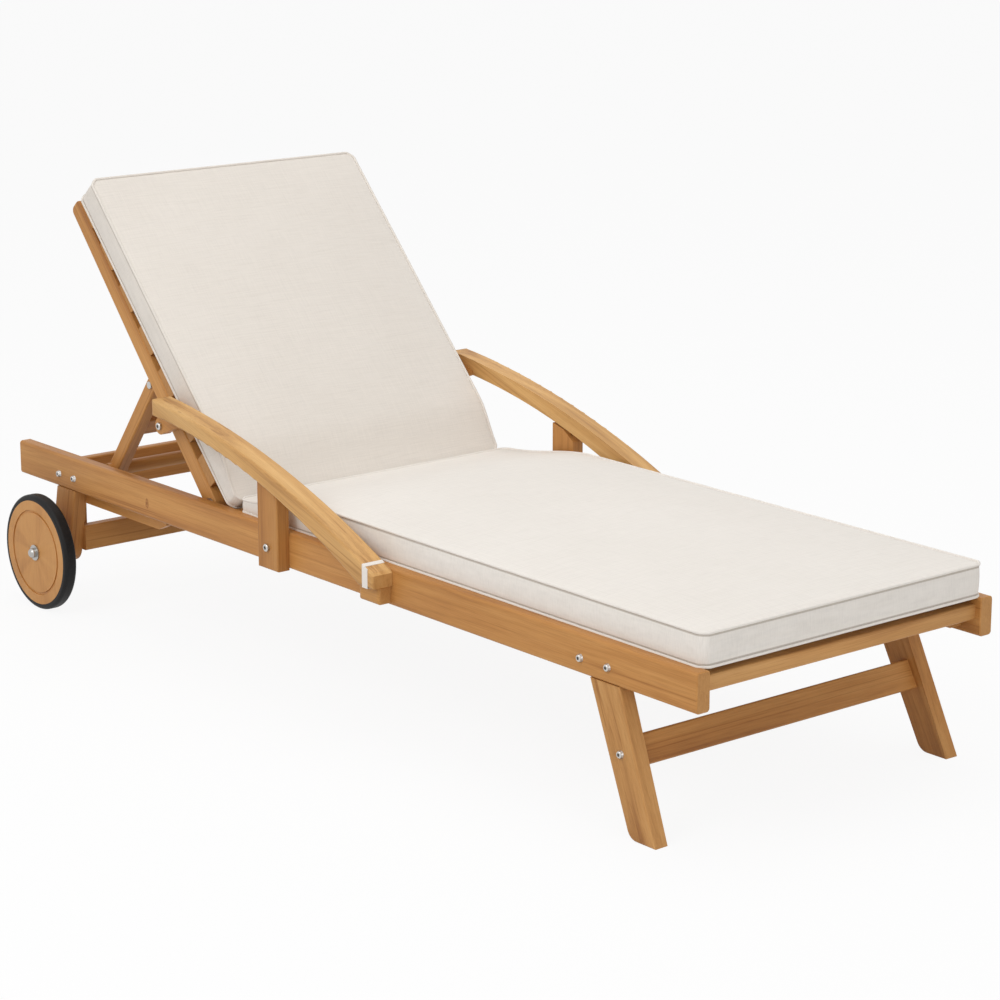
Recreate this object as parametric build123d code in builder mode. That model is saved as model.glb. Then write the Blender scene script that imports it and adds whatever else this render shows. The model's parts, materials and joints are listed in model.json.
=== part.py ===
from build123d import *
import math
import os

os.makedirs("parts", exist_ok=True)

# Wooden sun lounger with wheels, a reclining back that is linked to swinging arms, and cushions.
# +Z is up, the ground is z = 0 and the origin is on the ground at the middle of the frame.
# The foot end points to -Y. "left" is +X and "right" is -X, as for the person lying on it.

# Frame rails
rail_length = 1975
frame_width = 660
rail_thick = 28
rail_height = 66
rail_bottom = 234
rail_round = 6
wood_round = 3
cut_extra = 10

# Clearances
moving_gap = 0.3
pin_gap = 0.05

# Crossbars between the rails, with their places from the foot end
foot_bar_inset = 12
foot_bar_thick = 28
foot_bar_height = 26
foot_bar_drop = 13
mid_bar_before_hinge = 81
mid_bar_width = 48
mid_bar_thick = 28
mid_bar_bottom = 237
near_bar_past_hinge = 411
far_bar_past_hinge = 521
rear_bar_thick = 20
rear_bar_height = 36
rear_bar_drop = 28
rear_bar_round = 4

# Seat ledgers and slats
ledger_width = 30
ledger_height = 24
ledger_start = 41
seat_slat_thick = 18
seat_slat_width = 62
seat_slat_count = 13
seat_slat_start = 48
slats_before_hinge = 93
ledger_drop = 31

# Front legs, which lean to the foot and splay outwards
front_leg_top = 215
front_leg_lean = 116
front_leg_top_width = 70
front_leg_foot_width = 58
front_leg_splay = 14
front_foot_round = 24
lap_thick = 20
lap_width = 92
lap_place = 186
lap_depth = 52
lap_round = 8
front_stretcher_up = 128
front_stretcher_height = 50
front_stretcher_thick = 28

# Rear legs, which carry the wheels
rear_leg_past_hinge = 460
rear_leg_width = 66
rear_leg_lean = 26.4
rear_lap_past_hinge = 465
rear_lap_width = 42
rear_lap_depth = 84
rear_stretcher_up = 133
rear_stretcher_height = 50
rear_stretcher_thick = 22
rear_stretcher_past_hinge = 439

# Notched boards on the inside of the rails, which hold the prop bar
notch_board_thick = 13.5
board_past_hinge = 147
board_length = 316
notch_board_bottom = 206
notch_board_kick = 12
notch_board_ramp = 26
notch_pitch = 42
notch_turns = (-3, -2, -1, 1, 2)
notch_depth = 4
notch_gap = 0.5

# Bolts through the rails
bolt_head_radius = 7
bolt_head_height = 3.5
bolt_radius = 4
bolt_reach = 40
rail_bolt_up = 260
front_bolt_place = 202
front_bolt_pitch = 65
board_bolt_past_hinge = 429
lap_bolt_past_hinge = 483
stretcher_bolt_reach = 50

# Wheels
wheel_radius = 114
wheel_width = 26
wheel_past_hinge = 471
wheel_stand_off = 42
tyre_depth = 11
tyre_round = 7
disc_ring_radius = 82
disc_ring_width = 5
disc_ring_depth = 2.5
axle_radius = 8
spacer_radius = 15
axle_head_radius = 9.5
axle_head_height = 7
washer_radius = 15.5
washer_thick = 2.5
cap_nut_radius = 9.5
cap_nut_height = 11
dome_turn = 24
dome_flat = 2

# Back rest, measured along the stiles from the hinge and outwards from their middle line
back_angle = 48.8
hinge_from_head = 632
hinge_up = 290
stile_length = 670
stile_half = 18
stile_thick = 28
stile_corner = 12
stile_side_gap = 3
back_slat_count = 7
back_slat_width = 60
back_slat_thick = 22
back_slat_start = 25
back_slat_last = 600
back_slat_inset = 2
hinge_pin_radius = 5
hinge_pin_depth = 18
hinge_collar_radius = 11

# Prop that holds the back up
prop_along = 279
prop_behind = 34
prop_angle = -52.7
prop_length = 240
prop_bar_radius = 13
prop_ear_radius = 14
prop_thick = 26
prop_side_gap = 11
prop_rail_width = 34
prop_rail_front = 16
prop_rail_back = 50
prop_upper_along = 118
prop_upper_width = 40
prop_upper_thick = 16
prop_bolt_radius = 4
prop_bolt_depth = 22

# Arms
arm_width = 42
arm_tip_before_hinge = 592.5
arm_tip_top = 298
arm_tip_bottom = 270
arm_flat = 42
arm_mid_before_hinge = 263
arm_mid_top = 420
arm_mid_bottom = 389
arm_end_past_hinge = 77
arm_end_top = 484
arm_end_bottom = 453
arm_round = 5
arm_corner = 5
lug_thick = 18
lug_radius = 16
lug_start_past_hinge = 9
lug_low = 446
lug_high = 474
lug_along = 174
band_from_tip = 13.5
band_width = 15
band_top_width = 7
band_thick = 0.8

# Posts under the arms
post_thick = 26
post_width = 60
post_bottom = 232
post_pivot_up = 272
post_pin_up = 394
tongue_radius = 12
tongue_thick = 12
tongue_inset = 7
mortise_play = 9
mortise_wall = 1
shoulder_gap = 3.5
shoulder_swing = 12
shoulder_rise = 8

# Blocks on the rails where the arm tips rest
block_from_tip = 5
block_width = 56
block_bottom = 238
block_round = 6

# Cushions
cushion_side = 23
seat_cushion_start = 10
cushion_before_hinge = 111
seat_cushion_lift = 0.5
cushion_thick = 54
cushion_crown = 12
cushion_corner = 14
cushion_draw = 4
crown_inset = 70
crown_shoulder = 22
back_cushion_start = -27
back_cushion_end = 657
back_cushion_front = 101

# Places worked out from the sizes above
half_width = frame_width / 2
inner_half = half_width - rail_thick
foot_y = -rail_length / 2
rail_top = rail_bottom + rail_height
ledger_top = rail_top - ledger_drop
splay = math.degrees(math.atan(front_leg_splay / rail_bottom))
lean = math.degrees(math.atan(front_leg_lean / rail_bottom))
recline = math.radians(back_angle)
stile_outer = inner_half - stile_side_gap
stile_inner = stile_outer - stile_thick
arm_inner = half_width + moving_gap
post_outer = arm_inner + post_thick
wheel_inner = half_width + wheel_stand_off
wheel_outer = wheel_inner + wheel_width
prop_outer = stile_outer - prop_side_gap
prop_inner = prop_outer - prop_thick
sides = ((-1, "right"), (1, "left"))
hinge_place = rail_length - hinge_from_head
mid_bar_place = hinge_place - mid_bar_before_hinge
near_bar_place = hinge_place + near_bar_past_hinge
far_bar_place = hinge_place + far_bar_past_hinge
seat_end = hinge_place - slats_before_hinge
rear_leg_top = hinge_place + rear_leg_past_hinge
rear_lap_place = hinge_place + rear_lap_past_hinge
rear_leg_slope = rear_leg_lean / (rail_bottom - wheel_radius)
rear_stretcher_place = hinge_place + rear_stretcher_past_hinge
notch_board_start = hinge_place + board_past_hinge
notch_board_end = notch_board_start + board_length
front_bolts = (front_bolt_place, front_bolt_place + front_bolt_pitch)
board_bolt = hinge_place + board_bolt_past_hinge
lap_bolt = hinge_place + lap_bolt_past_hinge
rail_bolts = (*front_bolts, board_bolt, lap_bolt)
wheel_place = hinge_place + wheel_past_hinge
arm_tip = hinge_place - arm_tip_before_hinge
arm_mid = hinge_place - arm_mid_before_hinge
arm_end = hinge_place + arm_end_past_hinge
lug_start = hinge_place + lug_start_past_hinge
band_place = arm_tip + band_from_tip
block_place = arm_tip + block_from_tip
cushion_half = half_width - cushion_side
seat_cushion_end = hinge_place - cushion_before_hinge


def side_plane(x, y=0, z=0):
    """Sketch plane across the lounger: its x runs to the head and its y runs up."""
    return Plane(origin=(x, foot_y + y, z), x_dir=(0, 1, 0), z_dir=(1, 0, 0))


def back_plane(x):
    """Sketch plane of the back: its x runs up the stiles and its y points to the front."""
    tilt = (0, math.cos(recline), math.sin(recline))
    return Plane(origin=(x, foot_y + hinge_place, hinge_up), x_dir=tilt, z_dir=(1, 0, 0))


def on_back(along, out):
    """Place (from the foot end, up) of a point given in the back's own directions."""
    place = hinge_place + along * math.cos(recline) - out * math.sin(recline)
    up = hinge_up + along * math.sin(recline) + out * math.cos(recline)
    return place, up


def prop_foot():
    """Place (from the foot end, up) of the prop's foot bar at rest."""
    place, up = on_back(prop_along, -prop_behind)
    slope = math.radians(prop_angle)
    return place + prop_length * math.cos(slope), up + prop_length * math.sin(slope)


def save(piece, name):
    piece.part.label = name
    export_step(piece.part, f"parts/{name}.step")


def make_rail(side, hand):
    with BuildPart() as rail:
        start = Plane(
            origin=(side * (half_width - rail_thick / 2), foot_y, rail_bottom + rail_height / 2),
            x_dir=(1, 0, 0),
            z_dir=(0, 1, 0),
        )
        with BuildSketch(start):
            RectangleRounded(rail_thick, rail_height, rail_round)
        extrude(amount=rail_length)
        ends = rail.faces().sort_by(Axis.Y)
        chamfer(ends[0].edges() + ends[-1].edges(), wood_round / 2)
        bolts = [(place, rail_bolt_up) for place in rail_bolts]
        with BuildSketch(side_plane(side * half_width)):
            with Locations(*bolts):
                Circle(bolt_radius)
        extrude(amount=-side * rail_thick, mode=Mode.SUBTRACT)
        with BuildSketch(side_plane(side * half_width)):
            with Locations((arm_mid, post_pivot_up)):
                Circle(bolt_radius)
        extrude(amount=-side * hinge_pin_depth, mode=Mode.SUBTRACT)
        with BuildSketch(side_plane(side * inner_half)):
            with Locations((hinge_place, hinge_up)):
                Circle(hinge_pin_radius)
        extrude(amount=side * hinge_pin_depth, mode=Mode.SUBTRACT)
    save(rail, f"side_rail_{hand}")


def make_crossbar(name, place, bottom, width, height, rounding, half=inner_half):
    """A bar between the rails, from its place, lower face and section."""
    middle = side_plane(-half, place + width / 2, bottom + height / 2)
    with BuildPart() as bar:
        with BuildSketch(middle):
            RectangleRounded(width, height, rounding)
        extrude(amount=2 * half)
    save(bar, name)


def make_ledger(side, hand):
    """Seat ledger on the rail, housed over the lap of the front leg."""
    with BuildPart() as ledger:
        with BuildSketch(Plane.XY.offset(ledger_top - ledger_height)):
            with Locations((side * (inner_half - ledger_width / 2), foot_y + ledger_start)):
                Rectangle(ledger_width, mid_bar_place - ledger_start, align=(Align.CENTER, Align.MIN))
            with Locations((side * inner_half, foot_y + lap_place)):
                Rectangle(2 * lap_thick, lap_width, align=(Align.CENTER, Align.MIN), mode=Mode.SUBTRACT)
        extrude(amount=ledger_height)
        bottom = ledger.faces().sort_by(Axis.Z)[0]
        inner = bottom.edges().filter_by(Axis.Y).sort_by(Axis.X)[0 if side > 0 else -1]
        chamfer(inner, wood_round)
    save(ledger, f"seat_ledger_{hand}")


def make_seat_slats():
    pitch = (seat_end - seat_slat_width - seat_slat_start) / (seat_slat_count - 1)
    with BuildPart() as slats:
        for number in range(seat_slat_count):
            middle = seat_slat_start + seat_slat_width / 2 + number * pitch
            with BuildSketch(side_plane(-inner_half, middle, ledger_top + seat_slat_thick / 2)):
                RectangleRounded(seat_slat_width, seat_slat_thick, wood_round)
            extrude(amount=2 * inner_half)
    save(slats, "seat_slats")


def leg_normal(side):
    """Direction that the outer face of a splayed front leg looks in."""
    turn = math.radians(splay)
    return side * math.cos(turn), 0, math.sin(turn)


def stretcher_bolt_plane(side):
    """Sketch plane on the outer face of a front leg, centred on its stretcher bolt."""
    across, _, rise = leg_normal(side)
    drop = rail_bottom - front_stretcher_up
    face = inner_half + drop * math.tan(math.radians(splay))
    place = front_leg_top - front_leg_lean * drop / rail_bottom
    origin = (
        side * face + rail_thick * across,
        foot_y + place,
        front_stretcher_up + rail_thick * rise,
    )
    return Plane(origin=origin, x_dir=(0, 1, 0), z_dir=(across, 0, rise))


def make_front_leg(side, hand):
    """Leg with a rounded heel, splayed outwards, and a straight lap inside the rail."""
    outwards = leg_normal(side)
    leg_plane = Plane(
        origin=(side * inner_half, foot_y, rail_bottom),
        x_dir=(0, 1, 0),
        z_dir=(side * outwards[0], 0, side * outwards[2]),
    )
    top_half = front_leg_top_width / 2
    foot_middle = front_leg_top - front_leg_lean
    foot_half = front_leg_foot_width / 2
    reach = rail_bottom / math.cos(math.radians(splay))
    with BuildPart() as leg:
        with BuildSketch(leg_plane):
            with BuildLine():
                Polyline(
                    (foot_middle - foot_half, -reach - cut_extra),
                    (foot_middle + foot_half, -reach - cut_extra),
                    (front_leg_top + top_half, cut_extra),
                    (front_leg_top - top_half, cut_extra),
                    close=True,
                )
            make_face()
        extrude(amount=side * rail_thick)
        split(bisect_by=Plane.XY.offset(rail_bottom), keep=Keep.BOTTOM)
        split(bisect_by=Plane.XY, keep=Keep.TOP)
        foot = leg.faces().sort_by(Axis.Z)[0]
        fillet(foot.edges().sort_by(Axis.Y)[-1], front_foot_round)
        outer = leg.faces().sort_by(Axis.X)[0 if side < 0 else -1]
        fillet(outer.edges().sort_by(Axis.Z)[:-1], wood_round)
        low = rail_bottom - lap_depth
        drift = front_leg_lean / rail_bottom * lap_depth
        lap_end = lap_place + lap_width
        with BuildSketch(side_plane(side * (inner_half - lap_thick))):
            with BuildLine():
                Polyline(
                    (lap_place, rail_bottom),
                    (lap_place - drift, low),
                    (front_leg_top + top_half - drift, low),
                    (front_leg_top + top_half, rail_bottom),
                    (lap_end, rail_bottom + lap_round),
                    (lap_end, ledger_top),
                    (lap_place, ledger_top),
                    close=True,
                )
            make_face()
        extrude(amount=side * lap_thick)
        with BuildSketch(side_plane(side * (inner_half - lap_thick))):
            with BuildLine():
                Polyline(
                    (front_leg_top - top_half, rail_bottom),
                    (front_leg_top - top_half - drift, low),
                    (front_leg_top + top_half - drift, low),
                    (front_leg_top + top_half, rail_bottom),
                    close=True,
                )
            make_face()
        extrude(amount=side * (lap_thick + rail_thick / 2))
        bolts = [(place, rail_bolt_up) for place in front_bolts]
        with BuildSketch(side_plane(side * inner_half)):
            with Locations(*bolts):
                Circle(bolt_radius)
        extrude(amount=-side * (bolt_reach - rail_thick), mode=Mode.SUBTRACT)
        with BuildSketch(stretcher_bolt_plane(side)):
            Circle(bolt_radius)
        extrude(amount=-2 * rail_thick, mode=Mode.SUBTRACT)
    save(leg, f"front_leg_{hand}")


def make_front_stretcher():
    """Stretcher in the plane of the leaning legs, with ends cut to their splay."""
    place = front_leg_top - front_leg_lean * (rail_bottom - front_stretcher_up) / rail_bottom
    slope = math.radians(lean)
    section = Plane(
        origin=(-half_width, foot_y + place, front_stretcher_up),
        x_dir=(0, math.cos(slope), -math.sin(slope)),
        z_dir=(1, 0, 0),
    )
    with BuildPart() as bar:
        with BuildSketch(section):
            RectangleRounded(front_stretcher_thick, front_stretcher_height, wood_round)
        extrude(amount=frame_width)
        for side, _ in sides:
            tilt = math.radians(splay)
            leg_face = Plane(
                origin=(side * inner_half, 0, rail_bottom),
                z_dir=(side * math.cos(tilt), 0, math.sin(tilt)),
            )
            split(bisect_by=leg_face, keep=Keep.BOTTOM)
        for side, _ in sides:
            with BuildSketch(stretcher_bolt_plane(side)):
                Circle(bolt_radius)
            extrude(amount=-stretcher_bolt_reach, mode=Mode.SUBTRACT)
    save(bar, "front_stretcher")


def make_rear_leg(side, hand):
    """Leg with a round lower end for the wheel axle and a lap inside the rail."""
    half = rear_leg_width / 2
    round_place = rear_leg_top + rear_leg_slope * (rail_bottom - wheel_radius)
    lap_low = rail_bottom - rear_lap_depth
    with BuildPart() as leg:
        with BuildSketch(side_plane(side * inner_half)):
            with BuildLine():
                Polyline(
                    (rear_leg_top - half, rail_bottom),
                    (round_place - half, wheel_radius),
                    (round_place + half, wheel_radius),
                    (rear_leg_top + half, rail_bottom),
                    close=True,
                )
            make_face()
            with Locations((round_place, wheel_radius)):
                Circle(half)
        extrude(amount=side * rail_thick)
        with BuildSketch(side_plane(side * inner_half)):
            with Locations((rear_lap_place, lap_low)):
                Rectangle(rear_lap_width, ledger_top - lap_low, align=(Align.MIN, Align.MIN))
        extrude(amount=-side * lap_thick)
        with BuildSketch(side_plane(side * half_width)):
            with Locations((wheel_place, wheel_radius)):
                Circle(axle_radius)
        extrude(amount=-side * rail_thick, mode=Mode.SUBTRACT)
        with BuildSketch(side_plane(side * inner_half)):
            with Locations((lap_bolt, rail_bolt_up)):
                Circle(bolt_radius)
        extrude(amount=-side * (bolt_reach - rail_thick), mode=Mode.SUBTRACT)
        outer = leg.faces().sort_by(Axis.X)[0 if side < 0 else -1]
        fillet(outer.edges().sort_by(Axis.Z)[:-1].filter_by(GeomType.LINE), wood_round / 2)
    save(leg, f"rear_leg_{hand}")


def make_notch_board(side, hand):
    """Board inside the rail with a row of round seats for the foot bar of the prop."""
    bar_place, bar_up = prop_foot()
    top = bar_up - prop_bar_radius - notch_gap
    seat_radius = prop_bar_radius + notch_gap
    seats = [(bar_place + turn * notch_pitch, bar_up - notch_depth) for turn in notch_turns]
    with BuildPart() as board:
        with BuildSketch(side_plane(side * inner_half)):
            with BuildLine():
                Polyline(
                    (notch_board_start, notch_board_bottom + notch_board_kick),
                    (notch_board_start + notch_board_ramp, notch_board_bottom),
                    (notch_board_end, notch_board_bottom),
                    (notch_board_end, top),
                    (notch_board_start, top),
                    close=True,
                )
            make_face()
            with Locations(*seats):
                Circle(seat_radius, mode=Mode.SUBTRACT)
        extrude(amount=-side * notch_board_thick)
        with BuildSketch(side_plane(side * inner_half)):
            with Locations((board_bolt, rail_bolt_up)):
                Circle(bolt_radius)
        extrude(amount=-side * (bolt_reach - rail_thick), mode=Mode.SUBTRACT)
    save(board, f"notch_board_{hand}")


def make_rest_block(side, hand):
    block_top = arm_tip_bottom - band_thick - moving_gap
    middle = side_plane(side * half_width, block_place + block_width / 2, (block_bottom + block_top) / 2)
    with BuildPart() as block:
        with BuildSketch(middle):
            RectangleRounded(block_width, block_top - block_bottom, wood_round)
        extrude(amount=side * post_thick)
        upright = block.edges().filter_by(Axis.Z).group_by(Axis.X)[0 if side < 0 else -1]
        fillet(upright, block_round)
    save(block, f"arm_rest_block_{hand}")


def make_frame_bolts():
    """Round-headed bolts from the outside of the rails into the laps and boards."""
    with BuildPart() as bolts:
        for side, _ in sides:
            places = [(place, rail_bolt_up) for place in rail_bolts]
            with BuildSketch(side_plane(side * half_width)):
                with Locations(*places):
                    Circle(bolt_radius)
            extrude(amount=-side * bolt_reach)
            with BuildSketch(side_plane(side * half_width)):
                with Locations(*places):
                    Circle(bolt_head_radius)
            extrude(amount=side * bolt_head_height, taper=20)
            with BuildSketch(stretcher_bolt_plane(side)):
                Circle(bolt_radius)
            extrude(amount=-stretcher_bolt_reach)
            with BuildSketch(stretcher_bolt_plane(side)):
                Circle(bolt_head_radius)
            extrude(amount=bolt_head_height, taper=20)
    save(bolts, "frame_bolts")


def turn_along_x(points, side, place, up):
    """Revolve a closed outline of (x, radius) points about an axis along X."""
    axis_plane = Plane(
        origin=(0, foot_y + place, up), x_dir=(side, 0, 0), z_dir=(0, -side, 0)
    )
    with BuildSketch(axis_plane) as profile:
        with BuildLine():
            Polyline(*points, close=True)
        make_face()
    revolve(profile.sketch, axis=Axis((0, foot_y + place, up), (1, 0, 0)))


def make_wheel_axles():
    """Stub axle bolts with the spacers that hold the wheels off the legs."""
    shaft = axle_radius - pin_gap
    tip = wheel_outer + moving_gap + washer_thick + cap_nut_height / 2
    head = inner_half - axle_head_height
    with BuildPart() as axles:
        for side, _ in sides:
            outline = (
                (head, 0), (head, axle_head_radius), (inner_half, axle_head_radius),
                (inner_half, axle_radius), (half_width, axle_radius), (half_width, spacer_radius),
                (wheel_inner - moving_gap, spacer_radius), (wheel_inner - moving_gap, shaft),
                (tip, shaft), (tip, 0),
            )
            turn_along_x(outline, side, wheel_place, wheel_radius)
    save(axles, "wheel_axles")


def make_cap_nuts():
    """Washers and domed nuts on the ends of the axles."""
    start = wheel_outer + moving_gap
    face = start + washer_thick
    shaft = axle_radius - pin_gap
    tip = face + cap_nut_height / 2
    crown = face + cap_nut_height
    shoulder = tip + (crown - tip) * math.cos(math.radians(dome_turn))
    with BuildPart() as nuts:
        for side, _ in sides:
            axis_plane = Plane(
                origin=(0, foot_y + wheel_place, wheel_radius), x_dir=(side, 0, 0), z_dir=(0, -side, 0)
            )
            with BuildSketch(axis_plane):
                with BuildLine():
                    Polyline(
                        (tip, 0), (tip, shaft), (start, shaft), (start, washer_radius),
                        (face, washer_radius), (face, cap_nut_radius), (tip, cap_nut_radius),
                    )
                    ThreePointArc((tip, cap_nut_radius), (shoulder, cap_nut_radius / 2), (crown, dome_flat))
                    Polyline((crown, dome_flat), (crown, 0), (tip, 0))
                make_face()
            revolve(axis=Axis((0, foot_y + wheel_place, wheel_radius), (1, 0, 0)))
    save(nuts, "axle_cap_nuts")


def make_wheel(side, hand):
    disc_radius = wheel_radius - tyre_depth
    with BuildPart() as disc:
        with BuildSketch(side_plane(side * wheel_inner, wheel_place, wheel_radius)):
            Circle(disc_radius)
            Circle(axle_radius, mode=Mode.SUBTRACT)
        extrude(amount=side * wheel_width)
        with BuildSketch(side_plane(side * wheel_outer, wheel_place, wheel_radius)):
            Circle(disc_ring_radius + disc_ring_width / 2)
            Circle(disc_ring_radius - disc_ring_width / 2, mode=Mode.SUBTRACT)
        extrude(amount=-side * disc_ring_depth, mode=Mode.SUBTRACT)
    save(disc, f"wheel_disc_{hand}")
    axis_plane = Plane(
        origin=(0, foot_y + wheel_place, wheel_radius), x_dir=(side, 0, 0), z_dir=(0, -side, 0)
    )
    with BuildPart() as tyre:
        with BuildSketch(axis_plane):
            with Locations((wheel_inner, disc_radius)):
                Rectangle(wheel_width, tyre_depth, align=(Align.MIN, Align.MIN))
            fillet(vertices().group_by(Axis.Y)[-1], tyre_round)
        revolve(axis=Axis((0, foot_y + wheel_place, wheel_radius), (1, 0, 0)))
    save(tyre, f"tyre_{hand}")


def make_hinge_pins():
    """Blind pins from the rails through the stiles, with a collar between them."""
    with BuildPart() as pins:
        for side, _ in sides:
            shaft = hinge_pin_radius - pin_gap
            seat = inner_half + hinge_pin_depth
            collar = stile_outer + moving_gap
            tip = stile_inner - moving_gap
            outline = (
                (seat, 0), (seat, hinge_pin_radius), (inner_half, hinge_pin_radius),
                (inner_half, hinge_collar_radius), (collar, hinge_collar_radius), (collar, shaft),
                (tip, shaft), (tip, 0),
            )
            turn_along_x(outline, side, hinge_place, hinge_up)
    save(pins, "hinge_pins")


def make_stile(side, hand):
    """Upright of the back with a round hinge end and a rounded top."""
    with BuildPart() as stile:
        with BuildSketch(back_plane(side * stile_outer)):
            with BuildLine():
                Line((0, -stile_half), (stile_length, -stile_half))
                Line((stile_length, -stile_half), (stile_length, stile_half))
                Line((stile_length, stile_half), (0, stile_half))
                ThreePointArc((0, stile_half), (-stile_half, 0), (0, -stile_half))
            make_face()
        extrude(amount=-side * stile_thick)
        top_edges = stile.edges().filter_by(Axis.X).sort_by(Axis.Z)[-2:]
        fillet(top_edges, stile_corner)
        outer = stile.faces().sort_by(Axis.X)[0 if side < 0 else -1]
        fillet(outer.edges(), wood_round)
        with BuildSketch(back_plane(side * stile_outer)):
            Circle(hinge_pin_radius)
            with Locations((lug_along, 0)):
                Circle(bolt_radius)
        extrude(amount=-side * stile_thick, mode=Mode.SUBTRACT)
    save(stile, f"back_stile_{hand}")


def make_back_slats():
    pitch = (back_slat_last - back_slat_start) / (back_slat_count - 1)
    half = stile_outer - back_slat_inset
    out = stile_half + back_slat_thick / 2
    for number in range(back_slat_count):
        along = back_slat_start + number * pitch + back_slat_width / 2
        with BuildPart() as slat:
            with BuildSketch(back_plane(-half)):
                with Locations((along, out)):
                    RectangleRounded(back_slat_width, back_slat_thick, wood_round)
            extrude(amount=2 * half)
        save(slat, f"back_slat_{number + 1}")


def make_prop_rail():
    """Rail across the back that carries the prop, cut back behind the stiles for its struts."""
    ear_half = prop_inner - moving_gap
    with BuildPart() as rail:
        with BuildSketch(back_plane(-stile_inner)):
            with Locations((prop_along, -prop_rail_front)):
                Rectangle(prop_rail_width, prop_rail_front + stile_half, align=(Align.CENTER, Align.MIN))
        extrude(amount=2 * stile_inner)
        with BuildSketch(back_plane(-ear_half)):
            with Locations((prop_along, -prop_rail_back)):
                Rectangle(prop_rail_width, prop_rail_back - prop_rail_front, align=(Align.CENTER, Align.MIN))
        extrude(amount=2 * ear_half)
        for side, _ in sides:
            with BuildSketch(back_plane(side * ear_half)):
                with Locations((prop_along, -prop_behind)):
                    Circle(prop_bolt_radius)
            extrude(amount=-side * prop_bolt_depth, mode=Mode.SUBTRACT)
    save(rail, "prop_hinge_rail")


def prop_plane(x):
    """Sketch plane of the prop: its x runs from the hinge down to the foot bar."""
    place, up = on_back(prop_along, -prop_behind)
    slope = math.radians(prop_angle)
    direction = (0, math.cos(slope), math.sin(slope))
    return Plane(origin=(x, foot_y + place, up), x_dir=direction, z_dir=(1, 0, 0))


def make_prop_strut(side, hand):
    with BuildPart() as strut:
        with BuildSketch(prop_plane(side * prop_outer)):
            with BuildLine():
                Line((0, prop_ear_radius), (prop_length, prop_ear_radius))
                ThreePointArc(
                    (prop_length, prop_ear_radius),
                    (prop_length + prop_ear_radius, 0),
                    (prop_length, -prop_ear_radius),
                )
                Line((prop_length, -prop_ear_radius), (0, -prop_ear_radius))
                ThreePointArc((0, -prop_ear_radius), (-prop_ear_radius, 0), (0, prop_ear_radius))
            make_face()
            Circle(prop_bolt_radius + pin_gap, mode=Mode.SUBTRACT)
            with Locations((prop_length, 0)):
                Circle(prop_bar_radius - wood_round, mode=Mode.SUBTRACT)
        extrude(amount=-side * prop_thick)
        for face in strut.faces().filter_by(Axis.X):
            fillet(face.outer_wire().edges(), wood_round)
    save(strut, f"prop_strut_{hand}")


def make_prop_bars():
    """Turned foot bar with thinner journals in the struts, and a flat upper bar."""
    end_place, end_up = prop_foot()
    journal = prop_bar_radius - wood_round
    with BuildPart() as foot_bar:
        with BuildSketch(side_plane(-prop_inner, end_place, end_up)):
            Circle(prop_bar_radius)
        extrude(amount=2 * prop_inner)
        for side, _ in sides:
            with BuildSketch(side_plane(side * prop_inner, end_place, end_up)):
                Circle(journal)
            extrude(amount=side * prop_thick)
            with BuildSketch(side_plane(side * prop_outer, end_place, end_up)):
                Circle(prop_bar_radius)
            extrude(amount=side * (stile_outer - prop_outer))
    save(foot_bar, "prop_foot_bar")
    with BuildPart() as upper_bar:
        with BuildSketch(prop_plane(-prop_inner)):
            with Locations((prop_upper_along, 0)):
                RectangleRounded(prop_upper_width, prop_upper_thick, wood_round)
        extrude(amount=2 * prop_inner)
    save(upper_bar, "prop_upper_bar")


def make_prop_bolts():
    place, up = on_back(prop_along, -prop_behind)
    seat = prop_inner - moving_gap - prop_bolt_depth
    head = prop_outer + moving_gap
    with BuildPart() as bolts:
        for side, _ in sides:
            outline = (
                (seat, 0), (seat, prop_bolt_radius), (head, prop_bolt_radius),
                (head, bolt_head_radius), (head + bolt_head_height, bolt_head_radius),
                (head + bolt_head_height, 0),
            )
            turn_along_x(outline, side, place, up)
    save(bolts, "prop_bolts")


def arm_outline():
    """Side outline of the arm: a flat under its tip and two long arcs."""
    tip_flat = arm_tip + arm_flat
    mid = arm_mid
    Line((arm_tip, arm_tip_top - arm_corner), (arm_tip, arm_tip_bottom))
    Line((arm_tip, arm_tip_bottom), (tip_flat, arm_tip_bottom))
    ThreePointArc((tip_flat, arm_tip_bottom), (mid, arm_mid_bottom), (arm_end, arm_end_bottom))
    Line((arm_end, arm_end_bottom), (arm_end, arm_end_top))
    ThreePointArc((arm_end, arm_end_top), (mid, arm_mid_top), (arm_tip + arm_corner, arm_tip_top))
    Line((arm_tip + arm_corner, arm_tip_top), (arm_tip, arm_tip_top - arm_corner))


def make_arm(side, hand):
    """Curved arm board, hollowed on its inner face for the swinging top of the post."""
    with BuildPart() as arm:
        with BuildSketch(side_plane(side * arm_inner)):
            with BuildLine():
                arm_outline()
            make_face()
        extrude(amount=side * arm_width)
        outer = arm.faces().sort_by(Axis.X)[0 if side < 0 else -1]
        fillet(outer.edges(), arm_round)
        top = post_pin_up + tongue_radius + mortise_wall
        deep = tongue_thick + 2 * moving_gap
        with BuildSketch(side_plane(side * (arm_inner + tongue_inset - moving_gap))):
            with Locations((arm_mid, top)):
                Rectangle(
                    2 * (tongue_radius + mortise_play),
                    top - arm_tip_bottom,
                    align=(Align.CENTER, Align.MAX),
                )
        extrude(amount=side * deep, mode=Mode.SUBTRACT)
    save(arm, f"arm_{hand}")


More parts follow.
